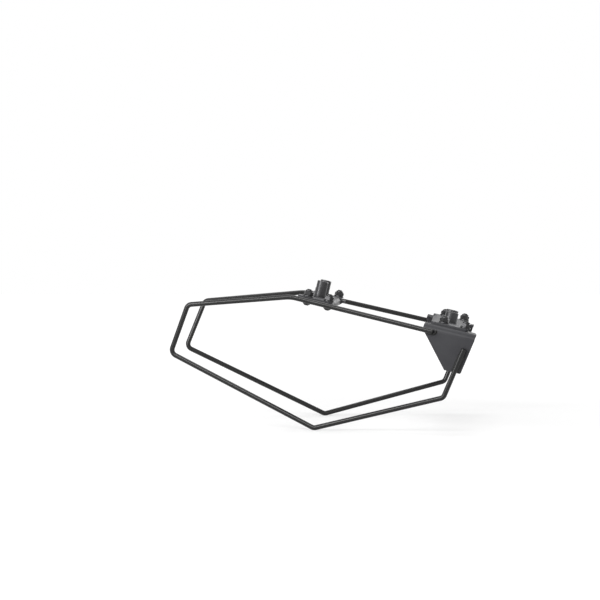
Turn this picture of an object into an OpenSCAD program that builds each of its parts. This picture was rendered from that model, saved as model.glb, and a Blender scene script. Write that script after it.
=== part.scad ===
// Pannier frame: two bent-rod side loops welded to folded cheek plates and rear tabs.
// Two pressed bridges join the sides, and the four bushes on them take the mounting bolts.
// X points forward, Y to the left and Z up. The origin is in the mounting plane, midway
// between the two front mounting bolts.

/* [Side loops] */
// Diameter of the rod with its coating
rod_d = 6; // [4:0.1:8]
// Centreline radius of the tight bends
bend_r = 7.5; // [6:0.5:14]
// Centreline radius of the slow bend behind the rear tab
kink_r = 45; // [25:1:60]
// Straight mounting bar, from the slow bend's corner to its front end
bar_len = 176; // [150:1:210]
// Rear top corner, distance behind the slow bend
rear_top_back = 124; // [100:1:140]
// Rear top corner, drop below the bar's line
rear_top_drop = 39.5; // [28:0.5:50]
// Rear bottom corner, distance behind the rear top corner
rear_rake = 10.5; // [0:0.5:20]
// Rear bottom corner, drop below the rear top corner
rear_height = 63; // [45:1:80]
// Lowest corner, distance ahead of the slow bend
low_fwd = 58.5; // [40:0.5:80]
// Lowest corner, drop below the bar's line
low_drop = 148; // [130:1:170]
// Top of the front leg, distance ahead of the bar's front end
leg_fwd = 40; // [32:1:50]
// Top of the front leg, drop below the bar's line
leg_top_drop = 11; // [8:0.5:16]
// Foot of the front leg, distance behind the leg's top
leg_rake = 12; // [4:0.5:20]
// Foot of the front leg, drop below the bar's line
leg_foot_drop = 73; // [62:1:85]
// Chamfer on the rod's cut ends
rod_chamfer = 0.5; // [0.2:0.1:1]

/* [Stance] */
// Nose-down angle of the mounting plane
deck_pitch = 13.2; // [5:0.1:20]
// Angle by which each bar runs outwards towards the front
toe = 10.8; // [5:0.1:14]
// Angle by which each loop leans in below its bar
lean = 8.7; // [2:0.1:14]
// Half the distance between the bars at the front mounting line
bar_half_w = 149.5; // [140:0.5:165]
// Height of the mounting plane above the bars
mount_h = 24; // [22:0.5:34]

/* [Sheet metal] */
// Thickness of the cheeks, tabs and bridges
sheet_t = 3; // [2:0.25:4]
// Inside radius of the folds
fold_r = 4; // [2:0.25:5]
// Gap between a rod and the plate it is welded to
weld_gap = 0.1; // [0.05:0.05:0.3]
// Metal lost at each surface of a bend, in rod and in sheet
bend_thin = 0.02; // [0.01:0.01:0.03]
// Length over which a straight and its bend lap
bend_lap = 0.3; // [0.1:0.1:0.3]

/* [Cheek plates] */
// Length of bar that laps over the cheek
bar_lap = 13; // [8:0.5:20]
// Depth of the cheek below its fold
cheek_drop = 41.5; // [34:0.5:50]
// Metal in front of the front leg
leg_margin = 7; // [6:0.5:12]
// Metal behind the front leg at the cheek's foot
foot_margin = 12.5; // [6:0.5:16]
// Corner radius at the cheek's foot
cheek_corner_r = 1.5; // [1:0.25:3]
// Width of the inward flange, from the fold
flange_w = 36; // [32:1:44]
// Set-back of the flange's inner corners
flange_taper = 8; // [4:0.5:12]

/* [Rear tabs] */
// Rear edge of the tab, distance ahead of the slow bend's corner
tab_fwd = 3; // [2:0.5:6]
// Length of the tab along the bar
tab_len = 52; // [50:1:60]
// Reach of the tab inside the rod's centre
tab_in = 34; // [30:1:44]
// Set-back of the tab's inner corners
tab_taper = 7; // [4:0.5:12]
// Corner radius of the tabs, flanges and bridge ends
plate_corner_r = 4; // [2:0.5:6]

/* [Bridges] */
// Width of the front bridge, from its front lip to its rear one
front_bridge_w = 44; // [40:1:52]
// Width of the rear bridge, from its front lip to its rear one
rear_bridge_w = 42; // [40:1:48]
// Height of the bridges' turned-down lips
lip_h = 8; // [6:0.5:9]
// Inside radius of the lips' bends
lip_r = 2; // [1:0.5:3]
// Distance from a lip's end to the flange or tab
lip_clear = 5; // [3:0.5:10]
// Radius of the relief notch at each end of a lip
relief_r = 2.5; // [1.5:0.25:4]
// Distance from a bridge's end to the fold, or to the bead on the rear tab
bridge_inset = 2; // [1:0.5:4]
// Width of the lightening slots
slot_w = 14; // [10:1:18]
// Length of the middle lightening slot of the front bridge
mid_slot_len = 40; // [24:1:46]
// Length of the outer lightening slots of the front bridge
side_slot_len = 30; // [20:1:34]
// Length of the middle lightening slot of the rear bridge
rear_mid_slot_len = 28; // [20:1:32]
// Length of the outer lightening slots of the rear bridge
rear_side_slot_len = 22; // [18:1:26]

/* [Mounting bushes] */
// Distance between the two front mounting bolts
front_bolt_span = 80; // [70:1:90]
// Distance between the two rear mounting bolts
rear_bolt_span = 60; // [50:1:80]
// Bore of the front bushes
front_bore_d = 8.5; // [8.2:0.1:9]
// Bore of the rear bushes
rear_bore_d = 6.5; // [6.2:0.1:7]
// Wall of the bushes
bush_wall = 3.5; // [2.5:0.25:4.5]
// Chamfer on the bushes' outer edges
bush_chamfer = 0.6; // [0.3:0.1:1]

/* [Fasteners] */
// Diameter of the joint bolts
bolt_d = 6; // [5:0.5:6.5]
// Clearance of the bolts in the holes of the sheet metal
bolt_clear = 0.6; // [0.3:0.1:1]
// Clearance of the bolts in their washers
washer_clear = 0.4; // [0.2:0.1:0.8]
// Clearance of the bolts in their nuts
nut_clear = 0.1; // [0.05:0.05:0.2]
// Distance between the two bolts of one joint
bolt_pitch = 26; // [22:1:30]
// Distance from the fold, or from the rod, to the row of joint bolts
bolt_inset = 18; // [16:0.5:20]
// Diameter of the bolt heads
head_d = 10.5; // [9:0.25:12]
// Height of the bolt heads
head_h = 3.3; // [2.5:0.1:3.5]
// Width across flats of the socket in the bolt heads
socket_af = 4; // [3:0.5:5]
// Depth of the socket in the bolt heads
socket_depth = 2; // [1.5:0.1:2.2]
// Outer diameter of the washers
washer_d = 12.5; // [11:0.5:14]
// Thickness of the washers
washer_t = 1.6; // [1:0.1:1.6]
// Width across flats of the lock nuts
nut_af = 10; // [9:0.25:11]
// Height of the hexagon of the lock nuts
nut_h = 4.6; // [3.5:0.1:5]
// Height of the round collar on the lock nuts
collar_h = 1.6; // [1:0.1:2]
// Diameter of the round collar on the lock nuts
collar_d = 8.6; // [8:0.1:8.9]
// Diameter of the lock nuts' flat bearing face
bearing_d = 9.5; // [8.9:0.1:9.8]
// Height of the chamfer at the lock nuts' corners
nut_chamfer = 0.7; // [0.4:0.1:1]
// Length of bolt that shows past the nut
bolt_tip = 1.2; // [0.5:0.1:1.6]

/* [Weld beads] */
// Width of the beads on the plate, from the rod's side
bead_w = 1.8; // [1.2:0.1:2.6]
// Length of the beads along the front leg
leg_bead_len = 20; // [14:1:24]
// Length of each bead along the rear tab
tab_bead_len = 46; // [30:1:48]
// Radius of the bead that wraps the bar's front end
end_bead_r = 5; // [3.5:0.25:5.5]

/* [Hidden] */
$fn = 64;
far = 400;

// Rod and plate distances
rod_r = rod_d / 2;
face_y = rod_r + weld_gap;
fold_out_r = fold_r + sheet_t;
fold_axis_y = face_y + fold_out_r;
fold_angle = 90 + lean;

// Corners of a loop in its own plane: along the bar, and up from it
rear_low_x = -rear_top_back - rear_rake;
rear_low_z = -rear_top_drop - rear_height;
leg_top_x = bar_len + leg_fwd;
leg_foot_x = leg_top_x - leg_rake;
LOOP = [
    [bar_len, 0],
    [0, 0],
    [-rear_top_back, -rear_top_drop],
    [rear_low_x, rear_low_z],
    [low_fwd, -low_drop],
    [leg_foot_x, -leg_foot_drop],
    [leg_top_x, -leg_top_drop]
];
LOOP_R = [0, kink_r, bend_r, bend_r, bend_r, bend_r, 0];

// Cheek plate, along the bar
leg_angle = atan2(leg_foot_drop - leg_top_drop, leg_rake);
function leg_x(z) = leg_top_x + (z + leg_top_drop) * leg_rake / (leg_foot_drop - leg_top_drop);
cheek_x1 = bar_len - bar_lap;
cheek_x2 = leg_x(0) + leg_margin;
cheek_mid = (cheek_x1 + cheek_x2) / 2;
foot_x1 = leg_x(-cheek_drop) - foot_margin;
foot_x2 = leg_x(-cheek_drop) + leg_margin;

// Rear tab, along the bar
tab_x1 = tab_fwd;
tab_x2 = tab_x1 + tab_len;
tab_mid = (tab_x1 + tab_x2) / 2;

// Plan of the mounting plane
kink_x = -cheek_mid * cos(toe);
kink_y = bar_half_w + kink_x * tan(toe);
rear_line_x = kink_x + tab_mid * cos(toe);
function bar_y(x) = bar_half_w + x * tan(toe);

// Levels above the bars, square to the mounting plane
flange_edge_y = fold_axis_y * cos(lean);
flange_seat = fold_axis_y * sin(lean) + fold_r;
flange_bolt_y = -flange_edge_y - bolt_inset;
tab_seat = -sheet_t / 2;
hole_d = bolt_d + bolt_clear;
grip = 2 * sheet_t;

// The four joints' bolts, along the bar and across it
FLANGE_BOLTS = [for (s = [-1, 1]) [cheek_mid + s * bolt_pitch / 2, flange_bolt_y]];
TAB_BOLTS = [for (s = [-1, 1]) [tab_mid + s * bolt_pitch / 2, -bolt_inset]];

// Where a bead's face runs into the rod, and the level at which its root starts
bead_top_r = 0.9 * rod_r;
bead_top_angle = 96;
bead_root = 0.35 * rod_r;

// The same for a bead on a butted tab
butt_top_angle = 115;
butt_root = 0.25 * sheet_t;

// Height by which rounded corners stand past the edges that they join
arc_proud = 0.01;

// Two-dimensional helpers
function unit(v) = v / norm(v);
function heading(a, b) = atan2(b[1] - a[1], b[0] - a[0]);
function turn(p, i) = (heading(p[i], p[i + 1]) - heading(p[i - 1], p[i]) + 720) % 360;
function trim(p, r, i) = r[i] * tan(turn(p, i) / 2);

// Convex outline with its own radius at each corner: each arc stands a hair proud, to cross the edges
module rounded(p, r) {
    n = len(p);
    ahead = [for (i = [0:n - 1]) unit(p[(i + 1) % n] - p[i])];
    behind = [for (i = [0:n - 1]) unit(p[(i + n - 1) % n] - p[i])];
    half = [for (i = [0:n - 1]) acos(ahead[i] * behind[i]) / 2];
    polygon([for (i = [0:n - 1], v = [behind[i], ahead[i]]) p[i] + v * r[i] / tan(half[i])]);
    for (i = [0:n - 1])
        if (r[i] > 0)
            translate(p[i] + unit(ahead[i] + behind[i]) * r[i] / sin(half[i])) circle(r[i] + arc_proud);
}

// Straight slot through a plate, along Y
module slot(l, w) {
    for (s = [-1, 1]) translate([0, s * (l - w) / 2, 0]) cylinder(h = far, d = w, center = true);
    cube([w, l - w, far], center = true);
}

// Frames: the mounting plane, one bar in it, and the plane of that bar's loop
module deck() rotate([0, deck_pitch, 0]) children();
module bar_deck() translate([kink_x, kink_y, -mount_h]) rotate([0, 0, toe]) children();
module bar_plane() bar_deck() rotate([-lean, 0, 0]) children();
module right_side() mirror([0, 1, 0]) children();
module both_sides() {
    children();
    right_side() children();
}

// One bend, drawn a hair thinner than the straights and carried a little way inside them
module bend(r, angle) {
    spare = bend_lap / r * 180 / PI;
    rotate(-90 - spare) rotate_extrude(angle = angle + 2 * spare)
        translate([r, 0]) circle(rod_r - bend_thin);
}

// One bent rod: each straight carries the bend and the run that follow it
module rod_run(p, r, i) {
    last = i == len(p) - 2;
    first_end = i == 0 ? rod_chamfer : trim(p, r, i);
    last_end = last ? rod_chamfer : trim(p, r, i + 1);
    l = norm(p[i + 1] - p[i]) - first_end - last_end;
    rotate([0, 90, 0]) cylinder(h = l, r = rod_r);
    translate([l, 0, 0])
        if (last) {
            rod_end();
        } else {
            translate([0, r[i + 1], 0]) {
                bend(r[i + 1], turn(p, i + 1));
                rotate(turn(p, i + 1)) translate([0, -r[i + 1], 0]) rod_run(p, r, i + 1);
            }
        }
}

module rod_end() rotate([0, 90, 0]) cylinder(h = rod_chamfer, r1 = rod_r, r2 = rod_r - rod_chamfer);

module bent_rod(p, r)
    translate(p[0]) rotate(heading(p[0], p[1])) translate([rod_chamfer, 0, 0]) {
        mirror([1, 0, 0]) rod_end();
        rod_run(p, r, 0);
    }

module side_loop() color("#2f2e30")
    deck() bar_plane() rotate([90, 0, 0]) bent_rod(LOOP, LOOP_R);

// Folded cheek plate: flat below the fold, arc, and flange level with the mounting plane
module side_cheek() color("#4b4b4e")
    deck() difference() {
        union() {
            bar_plane() {
                translate([0, -face_y, 0]) rotate([90, 0, 0]) linear_extrude(sheet_t) cheek_outline();
                translate([cheek_x1, -fold_axis_y, 0]) rotate([90, 0, 90])
                    rotate_extrude(angle = fold_angle)
                        translate([fold_r + bend_thin, bend_thin])
                            square([sheet_t - 2 * bend_thin, cheek_x2 - cheek_x1 - 2 * bend_thin]);
            }
            bar_deck() translate([0, 0, flange_seat]) linear_extrude(sheet_t) flange_outline();
        }
        bar_deck() bolt_holes(FLANGE_BOLTS);
    }

module cheek_outline()
    rounded(
        [[cheek_x1, 0], [foot_x1, -cheek_drop], [foot_x2, -cheek_drop], [cheek_x2, 0]],
        [0, cheek_corner_r, cheek_corner_r, 0]
    );

module flange_outline()
    translate([0, -flange_edge_y])
        rounded(
            [
                [cheek_x1, bend_lap],
                [cheek_x1, 0],
                [cheek_x1 + flange_taper, -flange_w],
                [cheek_x2 - flange_taper, -flange_w],
                [cheek_x2, 0],
                [cheek_x2, bend_lap]
            ],
            [0, 0, plate_corner_r, plate_corner_r, 0, 0]
        );

module bolt_holes(points)
    for (p = points) translate(p) cylinder(h = far, d = hole_d, center = true);

// Flat tab, butted against the bar's inner side at the height of the bar's centre
module side_tab() color("#3c3c3e")
    deck() bar_deck() difference() {
        translate([0, 0, tab_seat]) linear_extrude(sheet_t)
            rounded(
                [
                    [tab_x1, -face_y],
                    [tab_x1 + tab_taper, -tab_in],
                    [tab_x2 - tab_taper, -tab_in],
                    [tab_x2, -face_y]
                ],
                [0, plate_corner_r, plate_corner_r, 0]
            );
        bolt_holes(TAB_BOLTS);
    }

// Fillet between the rod and a plate on its inner side, cut to the rod's own round
module bead_section()
    difference() {
        polygon([
            [-face_y, bead_root],
            [-face_y, rod_r + bead_w],
            [bead_top_r * cos(bead_top_angle), bead_top_r * sin(bead_top_angle)],
            [0, bead_root]
        ]);
        circle(rod_r);
    }

module bead(l) rotate([90, 0, 90]) linear_extrude(l) bead_section();

// Fillet between the rod's inner side and the top of a tab that is butted against it
module butt_section()
    difference() {
        polygon([
            [-face_y, butt_root],
            [-face_y, sheet_t / 2],
            [-face_y - bead_w, sheet_t / 2],
            [bead_top_r * cos(butt_top_angle), bead_top_r * sin(butt_top_angle)],
            [-rod_r / 2, butt_root]
        ]);
        circle(rod_r);
    }

// Bead below the bar on the cheek, and the bead that wraps the bar's cut end
module bar_weld() color("#3a393a") {
    start = cheek_x1 + (rod_r + bead_w) * (foot_x1 - cheek_x1) / cheek_drop;
    deck() bar_plane() {
        translate([start, 0, 0]) mirror([0, 0, 1]) bead(bar_len + bend_lap - start);
        difference() {
            translate([bar_len, 0, 0]) sphere(end_bead_r);
            translate([bar_len - far, -far / 2, -far / 2]) cube(far);
            translate([0, -face_y - far, -far]) cube(far);
            translate([0, -fold_axis_y, 0]) rotate([0, 90, 0]) cylinder(h = far, r = fold_out_r);
        }
    }
}

// The two beads beside the front leg
module leg_weld() color("#3a393a")
    deck() bar_plane() translate([leg_top_x, 0, -leg_top_drop]) rotate([0, 180 - leg_angle, 0])
        for (s = [0, 1])
            mirror([0, 0, s])
                translate([(cheek_drop - leg_top_drop) / sin(leg_angle) - leg_bead_len - bead_w, 0, 0])
                    bead(leg_bead_len);

// The beads above and below the rear tab, along the bar
module tab_weld() color("#3a393a")
    deck() bar_deck() translate([tab_x2 - bead_w - tab_bead_len, 0, 0])
        for (s = [0, 1])
            mirror([0, 0, s]) rotate([90, 0, 90]) linear_extrude(tab_bead_len) butt_section();

// Section of a bridge: flat top with a turned-down lip along both edges
module channel_section(w) {
    out_r = lip_r + sheet_t;
    translate([-w / 2 + out_r, 0]) square([w - 2 * out_r, sheet_t]);
    for (s = [0, 1]) mirror([s, 0]) {
        translate([w / 2 - sheet_t, sheet_t - lip_h]) square([sheet_t, lip_h - out_r]);
        translate([w / 2 - out_r, sheet_t - out_r]) intersection() {
            difference() {
                circle(out_r);
                circle(lip_r);
            }
            square(out_r);
        }
    }
}

// Pressed bridge from one side's plate to the other's. Its flat runs from end to end.
module bridge(x, w, seat, end_in, plate_in, points, bolt_span, bore, mid_len, side_len) {
    lip_y = bar_y(x - w / 2) - plate_in / cos(toe) - lip_clear;
    x1 = x - w / 2;
    x2 = x + w / 2;
    flat_w = w - 2 * (lip_r + sheet_t);
    side_y = (bolt_span / 2 + bore / 2 + bush_wall + lip_y) / 2;
    difference() {
        union() {
            translate([x, lip_y, seat - mount_h]) rotate([90, 0, 0])
                linear_extrude(2 * lip_y) channel_section(w);
            translate([x - flat_w / 2, -lip_y - lip_clear, seat - mount_h])
                cube([flat_w, 2 * (lip_y + lip_clear), sheet_t]);
            both_sides() translate([0, 0, seat - mount_h]) linear_extrude(sheet_t)
                rounded(
                    [
                        [x1, lip_y],
                        [x2, lip_y],
                        [x2, bar_y(x2) - end_in / cos(toe)],
                        [x1, bar_y(x1) - end_in / cos(toe)]
                    ],
                    [0, 0, plate_corner_r, plate_corner_r]
                );
        }
        both_sides() {
            bar_deck() bolt_holes(points);
            translate([x, bolt_span / 2, 0]) cylinder(h = far, d = bore, center = true);
            translate([x, side_y, 0]) slot(side_len, slot_w);
            for (s = [-1, 1])
                translate([x + s * w / 2, lip_y + relief_r / 2, 0])
                    cylinder(h = far, r = relief_r, center = true);
        }
        translate([x, 0, 0]) slot(mid_len, slot_w);
    }
}

module front_bridge() color("#444446")
    deck() bridge(
        0, front_bridge_w, flange_seat + sheet_t,
        flange_edge_y + bridge_inset, flange_edge_y + flange_w,
        FLANGE_BOLTS, front_bolt_span, front_bore_d, mid_slot_len, side_slot_len
    );

module rear_bridge() color("#444446")
    deck() bridge(
        rear_line_x, rear_bridge_w, tab_seat + sheet_t,
        rod_r + bead_w + bridge_inset, tab_in,
        TAB_BOLTS, rear_bolt_span, rear_bore_d, rear_mid_slot_len, rear_side_slot_len
    );

// Turned bush that stands on a bridge and ends in the mounting plane
module bush(bore, h) {
    r = bore / 2 + bush_wall;
    translate([0, 0, -h]) rotate_extrude() polygon([
        [bore / 2, 0],
        [r, 0],
        [r, h - bush_chamfer],
        [r - bush_chamfer, h],
        [bore / 2, h]
    ]);
}

module bush_pair(x, span, bore, h) color("#48494b")
    deck() both_sides() translate([x, span / 2, 0]) bush(bore, h);

module front_bushes()
    bush_pair(0, front_bolt_span, front_bore_d, mount_h - flange_seat - 2 * sheet_t);

module rear_bushes()
    bush_pair(rear_line_x, rear_bolt_span, rear_bore_d, mount_h - tab_seat - 2 * sheet_t);

// Places a fastener at every joint of both sides, at a level above the bars
module at_joints(points, level)
    deck() both_sides() bar_deck() for (p = points) translate([p[0], p[1], level]) children();

// Button-head bolt, its head below and its seat at the origin
module bolt() {
    length = grip + 2 * washer_t + nut_h + collar_h + bolt_tip;
    crown_r = (pow(head_d / 2, 2) + pow(head_h, 2)) / (2 * head_h);
    difference() {
        union() {
            cylinder(h = length - bolt_tip / 2, d = bolt_d);
            translate([0, 0, length - bolt_tip / 2])
                cylinder(h = bolt_tip / 2, d1 = bolt_d, d2 = bolt_d - bolt_tip);
            intersection() {
                translate([0, 0, crown_r - head_h]) sphere(crown_r);
                translate([0, 0, -head_h]) cylinder(h = head_h, r = head_d);
            }
        }
        translate([0, 0, socket_depth - head_h - far])
            cylinder(h = far, d = socket_af / cos(30), $fn = 6);
    }
}

module washer()
    difference() {
        cylinder(h = washer_t, d = washer_d);
        cylinder(h = far, d = bolt_d + washer_clear, center = true);
    }

// Lock nut: chamfered hexagon below a round collar
module nut()
    difference() {
        union() {
            intersection() {
                cylinder(h = nut_h, d = nut_af / cos(30), $fn = 6);
                nut_envelope();
            }
            translate([0, 0, nut_h]) cylinder(h = collar_h, d = collar_d);
        }
        cylinder(h = far, d = bolt_d + nut_clear, center = true);
    }

// Two cones, base to base, that take the corners off the hexagon
module nut_envelope() {
    face_r = bearing_d / 2;
    corner_r = nut_af / 2 / cos(30);
    wide_r = face_r + (corner_r - face_r) * nut_h / (2 * nut_chamfer);
    rotate_extrude() polygon([[0, 0], [face_r, 0], [wide_r, nut_h / 2], [face_r, nut_h], [0, nut_h]]);
}

module front_bolts() color("#2b2c2e") at_joints(FLANGE_BOLTS, flange_seat - washer_t) bolt();
module rear_bolts() color("#2b2c2e") at_joints(TAB_BOLTS, tab_seat - washer_t) bolt();
module front_nuts() color("#2b2c2e") at_joints(FLANGE_BOLTS, flange_seat + grip + washer_t) nut();
module rear_nuts() color("#2b2c2e") at_joints(TAB_BOLTS, tab_seat + grip + washer_t) nut();

module front_washers() color("#343537") {
    at_joints(FLANGE_BOLTS, flange_seat - washer_t) washer();
    at_joints(FLANGE_BOLTS, flange_seat + grip) washer();
}

module rear_washers() color("#343537") {
    at_joints(TAB_BOLTS, tab_seat - washer_t) washer();
    at_joints(TAB_BOLTS, tab_seat + grip) washer();
}

right_side() side_loop();  // right_loop
side_loop();  // left_loop
right_side() side_cheek();  // right_cheek
side_cheek();  // left_cheek
right_side() side_tab();  // right_tab
side_tab();  // left_tab
right_side() bar_weld();  // right_bar_weld
bar_weld();  // left_bar_weld
right_side() leg_weld();  // right_leg_weld
leg_weld();  // left_leg_weld
right_side() tab_weld();  // right_tab_weld
tab_weld();  // left_tab_weld
front_bridge();
rear_bridge();
front_bushes();
rear_bushes();
front_bolts();
front_washers();
front_nuts();
rear_bolts();
rear_washers();
rear_nuts();
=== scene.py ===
# %% [markdown]
# A pannier frame is a rack of bent rod that carries a pair of soft bags, one on each side, and
# keeps them from swinging inwards. This lesson dresses its construction model: the model's pieces
# are loaded as a fixed frame, and each visible piece is built or finished around it, in metres
# and in its place. The frame is loaded first, because every later piece takes its place from it.

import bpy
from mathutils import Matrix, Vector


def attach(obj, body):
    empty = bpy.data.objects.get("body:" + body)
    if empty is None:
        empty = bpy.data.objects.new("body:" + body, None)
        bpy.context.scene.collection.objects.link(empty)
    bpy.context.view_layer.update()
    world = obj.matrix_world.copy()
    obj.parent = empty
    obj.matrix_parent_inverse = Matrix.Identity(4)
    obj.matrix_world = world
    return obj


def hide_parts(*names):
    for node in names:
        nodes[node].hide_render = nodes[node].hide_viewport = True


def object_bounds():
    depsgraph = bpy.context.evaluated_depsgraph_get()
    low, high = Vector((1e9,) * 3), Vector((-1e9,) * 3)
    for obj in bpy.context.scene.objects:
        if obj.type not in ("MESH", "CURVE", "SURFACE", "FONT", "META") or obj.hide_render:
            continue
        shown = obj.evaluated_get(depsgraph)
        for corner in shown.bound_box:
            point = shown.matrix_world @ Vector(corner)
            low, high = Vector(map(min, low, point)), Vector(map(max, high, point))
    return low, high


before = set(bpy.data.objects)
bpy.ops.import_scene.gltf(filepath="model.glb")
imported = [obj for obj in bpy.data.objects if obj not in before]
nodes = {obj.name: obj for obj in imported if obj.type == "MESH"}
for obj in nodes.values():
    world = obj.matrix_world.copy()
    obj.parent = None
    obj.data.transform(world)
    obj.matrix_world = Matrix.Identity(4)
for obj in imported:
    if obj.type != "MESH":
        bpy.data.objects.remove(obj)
cad_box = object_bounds()
print("nodes:", len(nodes), "box:", [[round(v, 4) for v in corner] for corner in cad_box])

# %% [markdown]
# Blender's own modules come next. Its scene is in metres, but a maker's drawing of such a rack is
# in millimetres, so sizes are written in those and multiplied by MM where they reach the scene.

# %% Other modules and units
import math

import bmesh
import bpy
from mathutils import Matrix, Vector

MM = 0.001
scene = bpy.context.scene
print("scene:", scene.name)

# %% [markdown]
# The camera stands where the photographer stood. Its place could be found by eye, but both loops
# have four clear corners each, so it was fitted to those: the near loop and the far loop of a
# symmetric object show the same corners from two sides, which fixes the distance, the turn and
# the tilt. The focal length is given in pixels of a 600 pixel wide picture and turned into
# millimetres here. The corners were read at the middles of pixels, hence the shift by half a
# pixel.

# %% Camera
PICTURE_W = 600
FOCAL_PX = 2017.8
SENSOR_MM = 36.0
FARTHEST_SEEN = 50
CAMERA_AT = Vector((2.0, -2492.8, 84.8)) * MM
CAMERA_YAW = math.radians(-4.358)
CAMERA_DOWN = math.radians(1.655)

camera_data = bpy.data.cameras.new("camera")
camera_data.sensor_width = SENSOR_MM
camera_data.lens = FOCAL_PX / PICTURE_W * SENSOR_MM
camera_data.clip_end = FARTHEST_SEEN
HALF_PIXEL = 0.5 / PICTURE_W
camera_data.shift_x = -HALF_PIXEL
camera_data.shift_y = HALF_PIXEL
camera = bpy.data.objects.new("camera", camera_data)
upright = Matrix.Rotation(math.radians(90), 4, "X")
camera.matrix_world = (
    Matrix.Translation(CAMERA_AT)
    @ Matrix.Rotation(-CAMERA_YAW, 4, "Z")
    @ Matrix.Rotation(-CAMERA_DOWN, 4, "X")
    @ upright
)
scene.collection.objects.link(camera)
scene.camera = camera
print("lens in mm:", round(camera_data.lens, 1))

# %% [markdown]
# A material is a small program of nodes. Written out node by node it is long and hard to read, so
# one class wraps a socket: adding, subtracting or multiplying two of them adds the Math node that
# does it, and one method adds any other node from its type, its settings and its inputs. Colours
# and vectors go through Mix and Vector Math nodes, because a Math node turns a colour grey.


# %% Shader helper
class Value:
    """A socket of a shader tree. Arithmetic on it adds Math nodes."""

    def __init__(self, tree, socket):
        self.tree = tree
        self.socket = socket

    def add(self, kind, settings=None, inputs=None, out=0):
        """Adds a node of this kind and returns one of its outputs."""
        node = self.tree.nodes.new(kind)
        for name, setting in (settings or {}).items():
            setattr(node, name, setting)
        for name, given in (inputs or {}).items():
            if isinstance(given, Value):
                self.tree.links.new(given.socket, node.inputs[name])
            else:
                node.inputs[name].default_value = given
        return Value(self.tree, node.outputs[out])

    def math(self, operation, first, second=0.0):
        return self.add("ShaderNodeMath", {"operation": operation}, {0: first, 1: second})

    def __add__(self, other):
        return self.math("ADD", self, other)

    def __radd__(self, other):
        return self.math("ADD", other, self)

    def __sub__(self, other):
        return self.math("SUBTRACT", self, other)

    def __rsub__(self, other):
        return self.math("SUBTRACT", other, self)

    def __mul__(self, other):
        return self.math("MULTIPLY", self, other)

    def __rmul__(self, other):
        return self.math("MULTIPLY", other, self)

    def larger(self, other):
        return self.math("MAXIMUM", self, other)

    def sine(self):
        return self.math("SINE", self)

    def above(self, edge, soft):
        """0 below the edge and 1 above it, with a soft step of this width."""
        settings = {"interpolation_type": "SMOOTHSTEP"}
        return self.add("ShaderNodeMapRange", settings, {0: self, 1: edge, 2: edge + soft})

    def noise(self, size, detail=2.0, roughness=0.5, offset=(0.0, 0.0, 0.0)):
        """Noise whose features are about this size in metres, on the vector in self."""
        moved = self.add("ShaderNodeVectorMath", {"operation": "ADD"}, {0: self, 1: offset})
        inputs = {"Vector": moved, "Scale": 1 / size, "Detail": detail, "Roughness": roughness}
        return self.add("ShaderNodeTexNoise", None, inputs)

    def mix(self, low, high):
        """A colour between low and high, by the factor in self. Sockets 6 and 7 are its colours."""
        return self.add("ShaderNodeMix", {"data_type": "RGBA"}, {0: self, 6: low, 7: high}, out=2)


print("shader helper:", Value.__doc__)

# %% [markdown]
# Every finish here is close to black or grey, so a colour is one level and a hint of warmth.
# Typing in three numbers each time would hide that they belong together. Each finish also starts
# from the same parts: a material, its Principled shader, and the object coordinates that its
# patterns are drawn on.


# %% Greys and new materials
def grey(level, warm=0.0):
    """A colour close to grey: warm takes blue away, and a negative one adds blue."""
    return (level, level, level * (1 - warm), 1.0)


def new_material(name):
    """An empty Principled material: its tree, its shader and its object coordinates."""
    material = bpy.data.materials.new(name)
    material.use_nodes = True
    tree = material.node_tree
    shader = tree.nodes["Principled BSDF"]
    coords = tree.nodes.new("ShaderNodeTexCoord")
    return material, shader, Value(tree, coords.outputs["Object"])


def feed(shader, name, value):
    value.tree.links.new(value.socket, shader.inputs[name])


print("colour of mid grey:", grey(0.5))

# %% [markdown]
# The rods, plates and beads wear the same kind of skin: satin black powder coat. Its powder melts
# into a film that is never quite flat, with an orange peel of about a millimetre and a finer
# grain on top. It could be a flat black with one roughness, but then each highlight would be a
# clean computer line. Here two noises drive a bump, and a slow one drifts the colour and the
# gloss from place to place. The plates' coat is coarser, more matt and a little bluer than the
# one on the rods and the beads.

# %% Powder coat
DRIFT_SIZE = 38 * MM
PEEL_SIZE = 1.3 * MM
GRAIN_SIZE = 0.32 * MM
PEEL_SHARE = 0.7
COAT_BUMP = 0.7


def powder_coat(name, colour, gloss, peel, specular, warm=0.0):
    """Powder coat of this grey level, mean roughness, depth of skin and mirror strength."""
    material, shader, place = new_material(name)
    drift = place.noise(DRIFT_SIZE, detail=3.0)
    skin = place.noise(PEEL_SIZE, detail=1.5, offset=(0.3, 0.1, 0.7))
    grain = place.noise(GRAIN_SIZE, detail=2.0, roughness=0.6, offset=(0.9, 0.4, 0.2))
    speck = grain.above(0.66, 0.06)
    tone = (drift * 0.75 + grain * 0.25).above(0.3, 0.4)
    coat = tone.mix(grey(colour * 0.86, warm - 0.02), grey(colour * 1.16, warm + 0.01))
    feed(shader, "Base Color", (speck * 0.35).mix(coat, grey(colour * 2.2, warm)))
    feed(shader, "Roughness", gloss + (drift - 0.5) * 0.16 + (grain - 0.5) * 0.1 + speck * 0.1)
    height = skin * PEEL_SHARE + grain * (1 - PEEL_SHARE)
    bump = {"Height": height, "Strength": COAT_BUMP, "Distance": peel}
    feed(shader, "Normal", height.add("ShaderNodeBump", None, bump))
    shader.inputs["Specular IOR Level"].default_value = specular
    return material


ROD_COAT = powder_coat("rod_powder", 0.007, 0.24, 0.025 * MM, 0.35)
PLATE_COAT = powder_coat("plate_powder", 0.036, 0.45, 0.11 * MM, 0.21, warm=-0.1)
WELD_COAT = powder_coat("weld_powder", 0.008, 0.27, 0.02 * MM, 0.38)
print("coats:", ROD_COAT.name, PLATE_COAT.name, WELD_COAT.name)

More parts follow.
